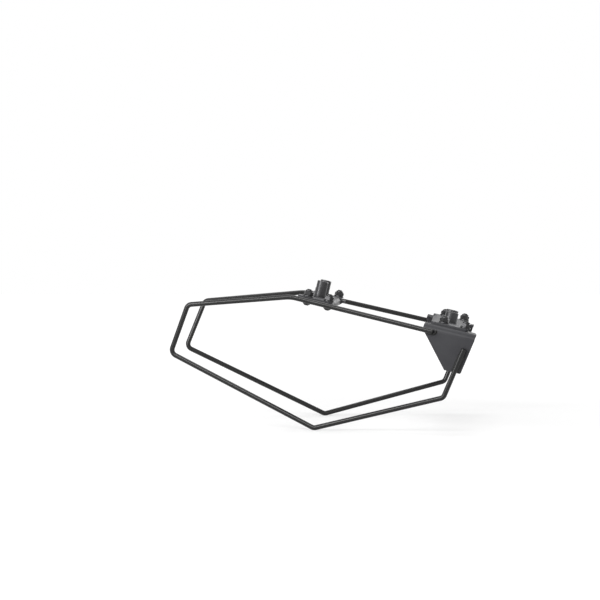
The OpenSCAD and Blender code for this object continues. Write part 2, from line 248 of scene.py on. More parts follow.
# %% [markdown]
# The fasteners and the bushes are steel under black zinc plating. It is never one even mirror: it
# clouds, and whatever tool made the piece shows through it. Turned pieces carry fine rings along
# their axis, so those pieces get an attribute with the distance along the axis, and a wave reads
# it. Rings drawn from object coordinates would need one centre for each piece, which this way
# avoids.

# %% Black zinc
CLOUD_SIZE = 2.2 * MM
WOBBLE_SIZE = 3 * MM
ZINC_BUMP = 0.3


def black_zinc(name, tone, gloss, ring_pitch, ring_depth):
    """Plated steel, with tool rings read from the piece's own 'along' attribute."""
    material, shader, place = new_material(name)
    along = place.add("ShaderNodeAttribute", {"attribute_name": "along"}, None, out=2)
    wobble = place.noise(WOBBLE_SIZE)
    rings = (along * (math.tau / ring_pitch) + wobble * 2.5).sine()
    cloud = place.noise(CLOUD_SIZE, detail=4.0, roughness=0.65, offset=(0.2, 0.8, 0.5))
    stain = cloud.above(0.56, 0.2)
    feed(shader, "Base Color", stain.mix(grey(tone, -0.03), grey(tone * 0.7, 0.03)))
    feed(shader, "Roughness", gloss + stain * 0.12 + (cloud - 0.5) * 0.2)
    height = rings * 0.5 + cloud * 0.5
    bump = {"Height": height, "Strength": ZINC_BUMP, "Distance": ring_depth}
    feed(shader, "Normal", height.add("ShaderNodeBump", None, bump))
    shader.inputs["Metallic"].default_value = 1.0
    return material


FASTENER_METAL = black_zinc("black_zinc_formed", 0.045, 0.36, 0.5 * MM, 0.012 * MM)
BUSH_METAL = black_zinc("black_zinc_turned", 0.06, 0.38, 0.35 * MM, 0.02 * MM)
print("metals:", FASTENER_METAL.name, BUSH_METAL.name)

# %% [markdown]
# Each loop lies in a plane of its own: it toes out towards the front and leans in below its bar,
# under a mounting plane that tips nose-down. Rather than work out each corner in space, the three
# turns are written once as matrices, and every piece of a side is drawn in the plane where it is
# simple. Lengths are in millimetres here, and the last matrix brings them to metres.

# %% The side's own planes
DECK_PITCH = math.radians(13.2)
TOE = math.radians(10.8)
LEAN = math.radians(8.7)
BAR_HALF_W = 149.5
MOUNT_H = 24.0
ROD_R = 3.0
SHEET_T = 3.0
WELD_GAP = 0.1
FACE_Y = ROD_R + WELD_GAP
BAR_LEN = 176.0
BAR_LAP = 13.0
LEG_TOP = Vector((216.0, -11.0))
LEG_FOOT = Vector((204.0, -73.0))
LEG_MARGIN = 7.0
FOOT_MARGIN = 12.5
CHEEK_DROP = 41.5


def leg_x(z):
    """Where the front leg's centre line is at this height, along the bar."""
    return LEG_TOP.x + (z - LEG_TOP.y) * (LEG_TOP.x - LEG_FOOT.x) / (LEG_TOP.y - LEG_FOOT.y)


CHEEK_X1 = BAR_LEN - BAR_LAP
CHEEK_X2 = leg_x(0) + LEG_MARGIN
CHEEK_MID = (CHEEK_X1 + CHEEK_X2) / 2
KINK_X = -CHEEK_MID * math.cos(TOE)
KINK_Y = BAR_HALF_W + KINK_X * math.tan(TOE)

TO_METRES = Matrix.Scale(MM, 4)
DECK = TO_METRES @ Matrix.Rotation(DECK_PITCH, 4, "Y")
BAR_DECK = DECK @ Matrix.Translation((KINK_X, KINK_Y, -MOUNT_H)) @ Matrix.Rotation(TOE, 4, "Z")
BAR_PLANE = BAR_DECK @ Matrix.Rotation(-LEAN, 4, "X")
MIRROR = Matrix.Diagonal((1, -1, 1, 1))
SIDES = {"left": Matrix.Identity(4), "right": MIRROR}
BOLT_AXIS = Matrix.Rotation(DECK_PITCH, 3, "Y") @ Vector((0, 0, 1))
print("bar starts at", [round(v, 4) for v in BAR_PLANE @ Vector((0, 0, 0))])

# %% [markdown]
# Geometry Nodes make every piece that repeats or follows a path. A tree is a set of nodes with
# named inputs, and one helper adds a node in the same way as in a material. It could be drawn by
# hand in the node editor, but then its sizes would be out of reach of this script.


# %% Geometry Nodes tree
class Tree:
    """A Geometry Nodes group that is built node by node."""

    def __init__(self, name, inputs):
        self.group = bpy.data.node_groups.new(name, "GeometryNodeTree")
        face = self.group.interface
        face.new_socket("Geometry", in_out="INPUT", socket_type="NodeSocketGeometry")
        face.new_socket("Geometry", in_out="OUTPUT", socket_type="NodeSocketGeometry")
        for label, kind in inputs.items():
            face.new_socket(label, in_out="INPUT", socket_type="NodeSocket" + kind)
        self.given = self.group.nodes.new("NodeGroupInput").outputs
        self.made = self.group.nodes.new("NodeGroupOutput").inputs

    def add(self, kind, settings=None, inputs=None, out=0):
        node = self.group.nodes.new(kind)
        for name, setting in (settings or {}).items():
            setattr(node, name, setting)
        for name, given in (inputs or {}).items():
            if isinstance(given, bpy.types.NodeSocket):
                self.group.links.new(given, node.inputs[name])
            else:
                node.inputs[name].default_value = given
        return node.outputs[out]

    def attribute(self, name, data_type):
        settings = {"data_type": data_type}
        return self.add("GeometryNodeInputNamedAttribute", settings, {"Name": name})

    def finish(self, geometry):
        """Ends the tree: real geometry, with its material."""
        real = self.add("GeometryNodeRealizeInstances", None, {"Geometry": geometry})
        inputs = {"Geometry": real, "Material": self.given["Material"]}
        self.group.links.new(self.add("GeometryNodeSetMaterial", None, inputs), self.made[0])


print("tree helper:", Tree.__doc__)

# %% [markdown]
# A mesh is only points, edges and faces, and an object gives it a place in the scene. All objects
# stay at the origin here, so a piece's place is in its points. Values for single points, such as
# a bend radius, are stored as attributes, which a tree or a material can read by name.


# %% Meshes and objects
def link(name, mesh):
    """A new object at the origin with this mesh."""
    thing = bpy.data.objects.new(name, mesh)
    scene.collection.objects.link(thing)
    return thing


def mesh_of(name, points, edges=(), faces=()):
    mesh = bpy.data.meshes.new(name)
    mesh.from_pydata([tuple(p) for p in points], edges, faces)
    return mesh


def store(mesh, name, data_type, values):
    """Stores one value for each vertex."""
    layer = mesh.attributes.new(name, data_type, "POINT")
    for item, value in zip(layer.data, values):
        if data_type == "FLOAT":
            item.value = value
        else:
            item.vector = value


def baked(thing):
    """The evaluated mesh of an object, as a plain mesh of its own."""
    graph = bpy.context.evaluated_depsgraph_get()
    return bpy.data.meshes.new_from_object(thing.evaluated_get(graph))


def drop(thing):
    bpy.data.objects.remove(thing)


# %% [markdown]
# Each result is cleaned before it is used: doubles are merged and the faces turned outwards, so
# that it exports as a closed mesh, and edges sharper than a limit stay crisp. Shading smoothly
# everywhere would bend the light on a plate's flat side towards its rounded edge, so broad faces
# are set flat. The flat setting comes last, because marking sharp edges by their angle clears it.
# Normals that a copy brings along belong to its old shape, and go.

# %% Cleaning a mesh
SAME_POINT = 1e-7


def clean(mesh, crisp, broad=math.inf):
    """Merges doubles, turns the faces outwards, and keeps edges over this many degrees crisp.
    Faces broader than this, by their area over their outline, are flat and shade as such."""
    shape = bmesh.new()
    shape.from_mesh(mesh)
    bmesh.ops.remove_doubles(shape, verts=shape.verts, dist=SAME_POINT)
    bmesh.ops.recalc_face_normals(shape, faces=shape.faces)
    shape.faces.index_update()
    flat = [f.index for f in shape.faces if f.calc_area() > broad * f.calc_perimeter()]
    shape.to_mesh(mesh)
    shape.free()
    inherited = mesh.attributes.get("custom_normal")
    if inherited:
        mesh.attributes.remove(inherited)
    mesh.set_sharp_from_angle(angle=math.radians(crisp))
    for index in flat:
        mesh.polygons[index].use_smooth = False
    return mesh


print("points closer than this are merged, in metres:", SAME_POINT)

# %% [markdown]
# A tree runs as a modifier on an object. Its inputs are set by their identifiers, the evaluated
# mesh is taken as a plain one, and the modifier goes with its carrier. A finished mesh then takes
# the place of its construction node. Leaving the modifier live would also work in the render, but
# a plain mesh can be exported as it is.

# %% Running a tree and dressing a node
CRISP = 35


def run_tree(name, tree, mesh, inputs):
    """Runs a tree on a mesh and returns the result as a finished plain mesh."""
    carrier = link(name + "_carrier", mesh)
    modifier = carrier.modifiers.new("tree", "NODES")
    modifier.node_group = tree.group
    sockets = {item.name: item.identifier for item in tree.group.interface.items_tree}
    for label, given in inputs.items():
        modifier[sockets[label]] = given
    result = clean(baked(carrier), CRISP)
    result.name = name
    drop(carrier)
    return result


def dress(name, mesh, node):
    """Puts a finished mesh in the place of a construction node."""
    piece = link(name, mesh)
    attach(piece, "root")
    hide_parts(node)
    print(name, "for", node, "faces:", len(mesh.polygons))


print("edges stay crisp over", CRISP, "degrees")

# %% [markdown]
# A bent rod is the clearest case of a piece that follows a rule: straight runs between corners,
# each corner rounded at its own radius. It could be a bevelled curve, whose corners would all be
# rounded alike. Here the corners are a chain of edges with a bend radius stored at each one. The
# tree rounds them with Fillet Curve and sweeps a circle along the result.

# %% The tree of a bent rod
rod_tree = Tree("bent_rod", {
    "Rod Radius": "Float", "Bend Steps": "Int", "Sides": "Int", "Material": "Material",
})
path = rod_tree.add("GeometryNodeMeshToCurve", None, {"Mesh": rod_tree.given["Geometry"]})
path = rod_tree.add("GeometryNodeFilletCurve", {"mode": "POLY"}, {
    "Curve": path,
    "Count": rod_tree.given["Bend Steps"],
    "Radius": rod_tree.attribute("bend_radius", "FLOAT"),
})
ring = rod_tree.add("GeometryNodeCurvePrimitiveCircle", None, {
    "Resolution": rod_tree.given["Sides"],
    "Radius": rod_tree.given["Rod Radius"],
})
rod_tree.finish(rod_tree.add("GeometryNodeCurveToMesh", None, {
    "Curve": path,
    "Profile Curve": ring,
    "Scale": rod_tree.attribute("fullness", "FLOAT"),
    "Fill Caps": True,
}))
print("nodes in the rod's tree:", len(rod_tree.group.nodes))

# %% [markdown]
# The corners of a loop are few, and each is a place where the bender stopped: along the bar from
# its slow bend, up from the bar, and the bend's radius. A point just inside each cut end lets the
# sweep narrow there, which makes the end's chamfer. One rod is drawn and the other is its mirror
# image.

# %% The bent rods
KINK_R = 45.0
BEND_R = 7.5
CHAMFER = 0.5
BEND_STEPS = 14
ROD_SIDES = 32
LOOP = [
    (BAR_LEN, 0.0, 0.0),  # front end of the bar
    (0.0, 0.0, KINK_R),  # slow bend behind the rear tab
    (-124.0, -39.5, BEND_R),  # rear top corner
    (-134.5, -102.5, BEND_R),  # rear bottom corner
    (58.5, -148.0, BEND_R),  # lowest corner
    (LEG_FOOT.x, LEG_FOOT.y, BEND_R),  # foot of the front leg
    (LEG_TOP.x, LEG_TOP.y, 0.0),  # its end, on the cheek
]


def rod_path(side):
    """The chain of corners of one rod, with its chamfers' points."""
    corners = [Vector(corner[:2]) for corner in LOOP]
    radii = [corner[2] for corner in LOOP]
    fullness = [1.0] * len(LOOP)
    fullness[0] = fullness[-1] = 1 - CHAMFER / ROD_R
    for end, inner, at in ((0, 1, 1), (-1, -2, -1)):
        inwards = (corners[inner] - corners[end]).normalized()
        corners.insert(at, corners[end] + inwards * CHAMFER)
        radii.insert(at, 0.0)
        fullness.insert(at, 1.0)
    points = [SIDES[side] @ BAR_PLANE @ Vector((c.x, 0, c.y)) for c in corners]
    mesh = mesh_of(side + "_path", points, [(i, i + 1) for i in range(len(points) - 1)])
    store(mesh, "bend_radius", "FLOAT", [r * MM for r in radii])
    store(mesh, "fullness", "FLOAT", fullness)
    return mesh


for side in SIDES:
    rod = run_tree(side + "_rod", rod_tree, rod_path(side), {
        "Rod Radius": ROD_R * MM,
        "Bend Steps": BEND_STEPS,
        "Sides": ROD_SIDES,
        "Material": ROD_COAT,
    })
    dress(side + "_rod", rod, side + "_loop")

# %% [markdown]
# Cheeks, tabs and bridges are cut and folded from sheet. Their outlines, holes and folds are
# already exact in the construction model, so drawing them again would only risk a mistake. What
# that model lacks is the edge: a laser-cut edge under powder coat is a soft round of a few tenths
# of a millimetre that catches the light. Each piece is a copy of its node. Its loose triangles
# are welded into one skin, flat sides become single faces again, and a bevel then rounds only
# what is sharp.

# %% Folded sheet
EDGE_ROUND = 0.35 * MM
EDGE_STEPS = 3
EDGE_SHARPER = math.radians(50)
BROAD_FACE = 1.5 * MM
WELD_DISTANCE = 2e-6
FLAT_WITHIN = math.radians(0.5)
FOLD_CRISP = 30


def one_skin(node):
    """A copy of a construction node's mesh as one skin, with its flat sides in one piece."""
    shape = bmesh.new()
    shape.from_mesh(nodes[node].data)
    bmesh.ops.remove_doubles(shape, verts=shape.verts, dist=WELD_DISTANCE)
    bmesh.ops.dissolve_limit(
        shape, angle_limit=FLAT_WITHIN, verts=shape.verts, edges=shape.edges
    )
    mesh = bpy.data.meshes.new(node)
    shape.to_mesh(mesh)
    shape.free()
    mesh.materials.clear()
    mesh.materials.append(PLATE_COAT)
    return mesh


def soft_edges(node):
    """The skin of a node with softly rounded edges."""
    carrier = link(node + "_carrier", one_skin(node))
    bevel = carrier.modifiers.new("edge", "BEVEL")
    bevel.width = EDGE_ROUND
    bevel.segments = EDGE_STEPS
    bevel.limit_method = "ANGLE"
    bevel.angle_limit = EDGE_SHARPER
    result = clean(baked(carrier), FOLD_CRISP, broad=BROAD_FACE)
    drop(carrier)
    return result


for node in ("right_cheek", "left_cheek", "right_tab", "left_tab", "front_bridge", "rear_bridge"):
    dress(node + "_sheet", soft_edges(node), node)

# %% [markdown]
# A weld bead is a row of small pools of metal, each frozen over the last one like a fish's
# scales, and the powder coat then rounds the steps between them. A bump on a plain fillet shows
# the ripples but leaves the outline straight. Here the tree sets a flattened ball at each step of
# a path, tips it back a little and varies it with a fixed seed. The path carries a vector at each
# point that says which way the face of the bead looks.

# %% The tree of a weld bead
bead_tree = Tree("weld_bead", {
    "Step": "Float", "Ball": "Vector", "Tip Back": "Float", "Seed": "Int", "Material": "Material",
})
line = bead_tree.add("GeometryNodeMeshToCurve", None, {"Mesh": bead_tree.given["Geometry"]})
line = bead_tree.add("GeometryNodeResampleCurve", {"mode": "LENGTH"}, {
    "Curve": line, "Length": bead_tree.given["Step"],
})
ball = bead_tree.add("GeometryNodeMeshUVSphere", None, {
    "Segments": 20, "Rings": 14, "Radius": 1.0,
})
ball = bead_tree.add("GeometryNodeTransform", None, {
    "Geometry": ball, "Scale": bead_tree.given["Ball"],
})
axes = {"primary_axis": "X", "secondary_axis": "Z"}
facing = bead_tree.add("FunctionNodeAxesToRotation", axes, {
    "Primary Axis": bead_tree.add("GeometryNodeInputTangent"),
    "Secondary Axis": bead_tree.attribute("outward", "FLOAT_VECTOR"),
})
tipped = bead_tree.add("ShaderNodeCombineXYZ", None, {1: bead_tree.given["Tip Back"]})
tipped = bead_tree.add("FunctionNodeEulerToRotation", None, {0: tipped})
facing = bead_tree.add("FunctionNodeRotateRotation", {"rotation_space": "LOCAL"}, {
    "Rotation": facing, "Rotate By": tipped,
})
vary = bead_tree.add("FunctionNodeRandomValue", {"data_type": "FLOAT_VECTOR"}, {
    "Min": (0.85, 0.9, 0.88), "Max": (1.1, 1.06, 1.1), "Seed": bead_tree.given["Seed"],
})
bead_tree.finish(bead_tree.add("GeometryNodeInstanceOnPoints", None, {
    "Points": line, "Instance": ball, "Rotation": facing, "Scale": vary,
}))
print("nodes in the bead's tree:", len(bead_tree.group.nodes))

# %% [markdown]
# Welders move about a millimetre between two pools. The balls of a bead overlap, so they are not
# yet one body: a fine voxel skin joins them, and a short smoothing rounds the steps as the coat
# does. Joining them with booleans would keep the steps sharp and be slow.

# %% Weld beads
BEAD_W = 1.8
BEAD_STEP = 1.05 * MM
BEAD_BALL = (1.0 * MM, 1.55 * MM, 1.2 * MM)
BEAD_TIP = math.radians(-24)
BEAD_SKIN = 0.16 * MM
BEAD_CRISP = 80
SOFTENINGS = 2
BEAD_FACE_Y = 0.63
BEAD_FACE_OUT = 0.77
BEAD_IN = 0.4


def lap_point(place, away):
    """A point of a bead on a plate behind the rod: away is the side of the rod that it lies on."""
    centre = place + away * (ROD_R + WELD_GAP)
    at = Vector((centre.x, -FACE_Y + BEAD_IN, centre.y))
    look = Vector((away.x * BEAD_FACE_OUT, BEAD_FACE_Y, away.y * BEAD_FACE_OUT))
    return at, look


def bead_mesh(name, plane, lines, seed):
    """One piece from several bead paths, each a list of points with the way that they look."""
    joined = bmesh.new()
    for number, line in enumerate(lines):
        points = [plane @ at for at, look in line]
        outward = [(plane.to_3x3() @ look).normalized() for at, look in line]
        path_mesh = mesh_of(name, points, [(i, i + 1) for i in range(len(points) - 1)])
        store(path_mesh, "outward", "FLOAT_VECTOR", outward)
        part = run_tree(name, bead_tree, path_mesh, {
            "Step": BEAD_STEP,
            "Ball": BEAD_BALL,
            "Tip Back": BEAD_TIP,
            "Seed": seed + number,
            "Material": WELD_COAT,
        })
        joined.from_mesh(part)
    mesh = bpy.data.meshes.new(name)
    joined.to_mesh(mesh)
    joined.free()
    mesh.materials.append(WELD_COAT)
    carrier = link(name + "_carrier", mesh)
    skin = carrier.modifiers.new("skin", "REMESH")
    skin.mode = "VOXEL"
    skin.voxel_size = BEAD_SKIN
    soften = carrier.modifiers.new("soften", "SMOOTH")
    soften.factor = 0.5
    soften.iterations = SOFTENINGS
    result = clean(baked(carrier), BEAD_CRISP)
    drop(carrier)
    return result


print("balls of a bead, one each", round(BEAD_STEP / MM, 2), "mm")

# %% [markdown]
# Three places carry beads. One line runs under the bar along the cheek and wraps the bar's cut
# end. Two lines lie beside the front leg. The tab is butted against the bar, so its two lines lie
# above and below it. Each is a path in the plane of its own side, and both sides share the same
# numbers.

# %% Beads of the bar, the leg and the tab
TAB_X1 = 3.0
TAB_X2 = 55.0
TAB_BEAD_LEN = 46.0
LEG_BEAD_LEN = 20.0

cheek_edge = Vector((leg_x(-CHEEK_DROP) - FOOT_MARGIN - CHEEK_X1, -CHEEK_DROP))
bar_start = CHEEK_X1 + (ROD_R + BEAD_W) * cheek_edge.x / CHEEK_DROP
wrap = [math.radians(a) for a in range(-90, 31, 10)]
bar_end = Vector((BAR_LEN, 0))
bar_line = [lap_point(Vector((bar_start, 0)), Vector((0, -1)))]
bar_line += [lap_point(bar_end, Vector((math.cos(a), math.sin(a)))) for a in wrap]

leg_down = (LEG_FOOT - LEG_TOP).normalized()
leg_side = Vector((-leg_down.y, leg_down.x))
leg_end = LEG_TOP + leg_down * ((CHEEK_DROP + LEG_TOP.y) / -leg_down.y - BEAD_W)
leg_start = leg_end - leg_down * LEG_BEAD_LEN
leg_lines = [[lap_point(p, leg_side * s) for p in (leg_start, leg_end)] for s in (-1, 1)]

BUTT_OUT = FACE_Y + 0.3
BUTT_UP = 0.95
BUTT_LEAN = -0.25
tab_ends = (TAB_X2 - BEAD_W - TAB_BEAD_LEN, TAB_X2 - BEAD_W)
tab_lines = [
    [(Vector((x, -BUTT_OUT, s * BUTT_UP)), Vector((0, BUTT_LEAN, s))) for x in tab_ends]
    for s in (-1, 1)
]

for number, side in enumerate(SIDES):
    for name, plane, lines in (
        ("bar", BAR_PLANE, [bar_line]),
        ("leg", BAR_PLANE, leg_lines),
        ("tab", BAR_DECK, tab_lines),
    ):
        piece = f"{side}_{name}_bead"
        mesh = bead_mesh(piece, SIDES[side] @ plane, lines, 10 * number)
        dress(piece, mesh, f"{side}_{name}_weld")

# %% [markdown]
# Bolts, nuts, washers and bushes are all turned or formed about an axis. Each is a loft: a stack
# of rings with the same number of points, where a ring may be round, hexagonal or a turn of a
# thread. Cutting a hexagon from a cylinder would give the same shape with a far worse mesh.

# %% Rings and lofts
RING = 48


def hexagon(af):
    """The radius of a hexagon of this width across flats, at each point of a ring."""
    sector = math.tau / 6
    return [af / 2 / math.cos(i / RING * math.tau % sector - sector / 2) for i in range(RING)]


def ring_at(radius, height):
    """A ring: radius and height are numbers, or lists with one number for each point."""
    radii = radius if isinstance(radius, list) else [radius] * RING
    heights = height if isinstance(height, list) else [height] * RING
    turns = [i / RING * math.tau for i in range(RING)]
    return [
        Vector((r * math.cos(a), r * math.sin(a), h)) * MM
        for r, a, h in zip(radii, turns, heights)
    ]


def loft(name, rings, closed=False):
    """Joins the rings into a skin. An open stack has a face at each end, a closed one none."""
    points = [point for ring in rings for point in ring]
    faces = []
    count = len(rings) if closed else len(rings) - 1
    for k in range(count):
        near = k * RING
        far = (k + 1) % len(rings) * RING
        for i in range(RING):
            j = (i + 1) % RING
            faces.append((near + i, near + j, far + j, far + i))
    if not closed:
        faces.append(tuple(reversed(range(RING))))
        faces.append(tuple(range(len(points) - RING, len(points))))
    mesh = mesh_of(name, points, (), faces)
    store(mesh, "along", "FLOAT", [point.z for point in points])
    return mesh


print("points in a ring:", RING)

# %% [markdown]
# The joints are held by M6 button-head bolts. Each passes a washer, two sheets and a second
# washer and ends a thread or so past its lock nut, which sets its length. The thread is real
# geometry, because its end shows above the nut: each ring's radius climbs and falls once in a
# turn, and the next ring is turned a little further.

# %% Bolt
BOLT_R = 3.0
PITCH = 1.0
RINGS_A_PITCH = 10
THREAD_DEPTH = 0.32 * PITCH
HEAD_D = 10.5
HEAD_H = 3.3
CROWN_STEPS = 8
SOCKET_AF = 4.0
SOCKET_DEPTH = 2.0
DRILL_POINT = 0.35
MOUTH_SHARE = 0.62
EDGE_BREAK = 0.15
THREAD_PLAY = 0.03
WASHER_T = 1.6
NUT_H = 4.6
COLLAR_H = 1.6
BOLT_TIP = 1.2
GRIP = 2 * SHEET_T
BOLT_LEN = GRIP + 2 * WASHER_T + NUT_H + COLLAR_H + BOLT_TIP


def thread_ring(height, fade):
    """One ring of a thread: its radius climbs and falls once in each turn and each pitch."""
    depth = THREAD_DEPTH * fade
    radii = []
    for i in range(RING):
        phase = (height / PITCH - i / RING) % 1
        radii.append(BOLT_R - THREAD_PLAY - depth * abs(2 * phase - 1) ** 0.8)
    return ring_at(radii, height)


def bolt():
    """Button-head bolt with a hexagon socket: its head lies below height 0, its shank above."""
    crown_r = ((HEAD_D / 2) ** 2 + HEAD_H**2) / (2 * HEAD_H)
    socket = hexagon(SOCKET_AF)
    deepest = SOCKET_DEPTH - HEAD_H
    mouth_r = SOCKET_AF * MOUTH_SHARE
    rim_r = HEAD_D / 2 - EDGE_BREAK
    rings = [ring_at([r * 0.3 for r in socket], deepest + DRILL_POINT), ring_at(socket, deepest)]
    rings.append(ring_at(socket, EDGE_BREAK - HEAD_H))
    for k in range(CROWN_STEPS + 1):
        r = mouth_r + (rim_r - mouth_r) * k / CROWN_STEPS
        rings.append(ring_at(r, crown_r - HEAD_H - math.sqrt(crown_r**2 - r**2)))
    rings.append(ring_at(HEAD_D / 2 - 0.02, -0.18))
    rings.append(ring_at(rim_r, 0.0))
    rings.append(ring_at(BOLT_R, 0.0))
    first = GRIP + WASHER_T
    for k in range(int((BOLT_LEN - first - 0.5) / PITCH * RINGS_A_PITCH) + 1):
        height = first + k * PITCH / RINGS_A_PITCH
        rings.append(thread_ring(height, min(1.0, k / RINGS_A_PITCH)))
    rings.append(ring_at(BOLT_R - 0.45, BOLT_LEN - 0.3))
    rings.append(ring_at(BOLT_R - 0.75, BOLT_LEN))
    return loft("bolt", rings)


print("bolt length in mm:", round(BOLT_LEN, 1))

# %% [markdown]
# A lock nut is a hexagon with its corners turned away at both ends, under a round collar that
# holds its locking ring. The corners' chamfer rises with the distance from the axis, so one ring
# with a height for each point makes the curved line that a real nut has there. The washer was
# stamped, and its die rolled one edge over more than the other.

# %% Nut and washer
NUT_AF = 10.0
NUT_CHAMFER = 0.7
COLLAR_D = 8.6
BEARING_D = 9.5
WASHER_D = 12.5
WASHER_PLAY = 0.2


def nut():
    """Lock nut: a hexagon with its corners chamfered, and a round collar above."""
    flats = hexagon(NUT_AF)
    slope = NUT_CHAMFER / (max(flats) - BEARING_D / 2)
    rise = [(r - BEARING_D / 2) * slope for r in flats]
    bore = BOLT_R + THREAD_PLAY
    rings = [
        ring_at(bore, 0.25),
        ring_at(bore + 0.25, 0.0),
        ring_at(BEARING_D / 2, 0.0),
        ring_at(flats, rise),
        ring_at(flats, [NUT_H - h for h in rise]),
        ring_at(BEARING_D / 2 - 0.05, NUT_H),
        ring_at(COLLAR_D / 2 + 0.15, NUT_H + 0.05),
        ring_at(COLLAR_D / 2, NUT_H + 0.25),
        ring_at(COLLAR_D / 2, NUT_H + COLLAR_H - 0.55),
        ring_at(COLLAR_D / 2 - 0.2, NUT_H + COLLAR_H - 0.15),
        ring_at(COLLAR_D / 2 - 0.6, NUT_H + COLLAR_H),
        ring_at(bore + 0.35, NUT_H + COLLAR_H - 0.05),
        ring_at(bore, NUT_H + COLLAR_H - 0.35),
    ]
    return loft("nut", rings, closed=True)


def washer():
    """Stamped washer: one face has a rolled edge, the other a sharper one."""
    outer = WASHER_D / 2
    inner = BOLT_R + WASHER_PLAY
    rings = [
        ring_at(inner, 0.1),
        ring_at(inner + 0.1, 0.0),
        ring_at(outer - 0.12, 0.0),
        ring_at(outer, 0.12),
        ring_at(outer, WASHER_T - 0.35),
        ring_at(outer - 0.12, WASHER_T - 0.1),
        ring_at(outer - 0.4, WASHER_T),
        ring_at(inner + 0.25, WASHER_T),
        ring_at(inner, WASHER_T - 0.25),
    ]
    return loft("washer", rings, closed=True)


print("nut and washer stand", round(NUT_H + COLLAR_H + WASHER_T, 1), "mm high")

# %% [markdown]
# The bushes lift the frame off what it is bolted to. They are turned from bar and parted off, so
# their edges carry small chamfers, wider on the end that meets the mounting plane.

# %% Bush
BUSH_WALL = 3.5
TOP_CHAMFER = 0.6
FOOT_CHAMFER = 0.25
BORE_CHAMFER = 0.15


def bush(bore_r, height):
    """Turned bush that stands on height 0, with chamfered edges."""
    outer = bore_r + BUSH_WALL
    rings = [
        ring_at(bore_r, BORE_CHAMFER),
        ring_at(bore_r + BORE_CHAMFER, 0.0),
        ring_at(outer - FOOT_CHAMFER, 0.0),
        ring_at(outer, FOOT_CHAMFER),
        ring_at(outer, height - TOP_CHAMFER),
        ring_at(outer - TOP_CHAMFER, height),
        ring_at(bore_r + TOP_CHAMFER, height),
        ring_at(bore_r, height - TOP_CHAMFER),
    ]
    return loft("bush", rings, closed=True)


print("bush wall in mm:", BUSH_WALL)

# %% [markdown]
# A fastener sits at every hole of a joint, with its axis square to the mounting plane. Copies
# made one by one would all look alike. The tree places one master on every point and gives each
# copy its own random turn about its axis, because nobody lines up the flats.

# %% The tree that places the masters
place_tree = Tree("on_the_joints", {
    "Master": "Object", "Axis": "Vector", "Turn": "Float", "Seed": "Int", "Material": "Material",
})
given_master = {"Object": place_tree.given["Master"]}
master = place_tree.add("GeometryNodeObjectInfo", None, given_master, out=4)
upright_turn = place_tree.add("FunctionNodeAlignRotationToVector", {"axis": "Z"}, {
    "Vector": place_tree.given["Axis"],
})
spin = place_tree.add("FunctionNodeRandomValue", {"data_type": "FLOAT"}, {
    3: place_tree.given["Turn"], "Seed": place_tree.given["Seed"],
}, out=1)
spin = place_tree.add("ShaderNodeCombineXYZ", None, {2: spin})
spin = place_tree.add("FunctionNodeEulerToRotation", None, {0: spin})
spun = place_tree.add("FunctionNodeRotateRotation", {"rotation_space": "LOCAL"}, {
    "Rotation": upright_turn, "Rotate By": spin,
})
place_tree.finish(place_tree.add("GeometryNodeInstanceOnPoints", None, {
    "Points": place_tree.given["Geometry"], "Instance": master, "Rotation": spun,
}))
print("nodes in the placing tree:", len(place_tree.group.nodes))

# %% [markdown]
# Where each fastener sits follows from the sheets that it clamps: the flange is level with the
# mounting plane and its height comes from the fold, and the tab lies on the bar's centre. A joint
# is given along the bar, across it, and up from it to its lowest sheet.

# %% Joints and bushes
FOLD_R = 4.0
FOLD_OUT_R = FOLD_R + SHEET_T
FOLD_AXIS_Y = FACE_Y + FOLD_OUT_R
FLANGE_EDGE = FOLD_AXIS_Y * math.cos(LEAN)
FLANGE_SEAT = FOLD_AXIS_Y * math.sin(LEAN) + FOLD_R
TAB_MID = (TAB_X1 + TAB_X2) / 2
TAB_SEAT = -SHEET_T / 2
BOLT_PITCH = 26.0
BOLT_INSET = 18.0
FRONT_BOLT_SPAN = 80.0
REAR_BOLT_SPAN = 60.0
REAR_LINE_X = KINK_X + TAB_MID * math.cos(TOE)
JOINTS = {
    "front": (CHEEK_MID, -FLANGE_EDGE - BOLT_INSET, FLANGE_SEAT),
    "rear": (TAB_MID, -BOLT_INSET, TAB_SEAT),
}
BUSHES = {
    "front": (0.0, FRONT_BOLT_SPAN / 2, 4.25, MOUNT_H - FLANGE_SEAT - GRIP),
    "rear": (REAR_LINE_X, REAR_BOLT_SPAN / 2, 3.25, MOUNT_H - TAB_SEAT - GRIP),
}


def joint_points(end, level):
    """The places of one kind of fastener at both joints of one bridge."""
    along, across, seat = JOINTS[end]
    return [
        side @ BAR_DECK @ Vector((along + s * BOLT_PITCH / 2, across, seat + level))
        for side in SIDES.values()
        for s in (-1, 1)
    ]


print("seats above the bars in mm:", round(FLANGE_SEAT, 2), TAB_SEAT)

# %% [markdown]
# Each kind of fastener of a bridge shares one node, as it shares one line of a parts list.
# Washers lie under each head and under each nut, the nuts stand on top, and the bushes reach from
# the bridge up to the mounting plane. A master is only a pattern, so it goes once its copies are
# made.


# %% Placing the masters
def place(name, mesh, points, node, material, seed):
    """Places copies of a master mesh and dresses the node with them."""
    original = link(name + "_master", mesh)
    placed = run_tree(name, place_tree, mesh_of(name + "_points", points), {
        "Master": original,
        "Axis": BOLT_AXIS,
        "Turn": math.tau,
        "Seed": seed,
        "Material": material,
    })
    drop(original)
    dress(name, placed, node)


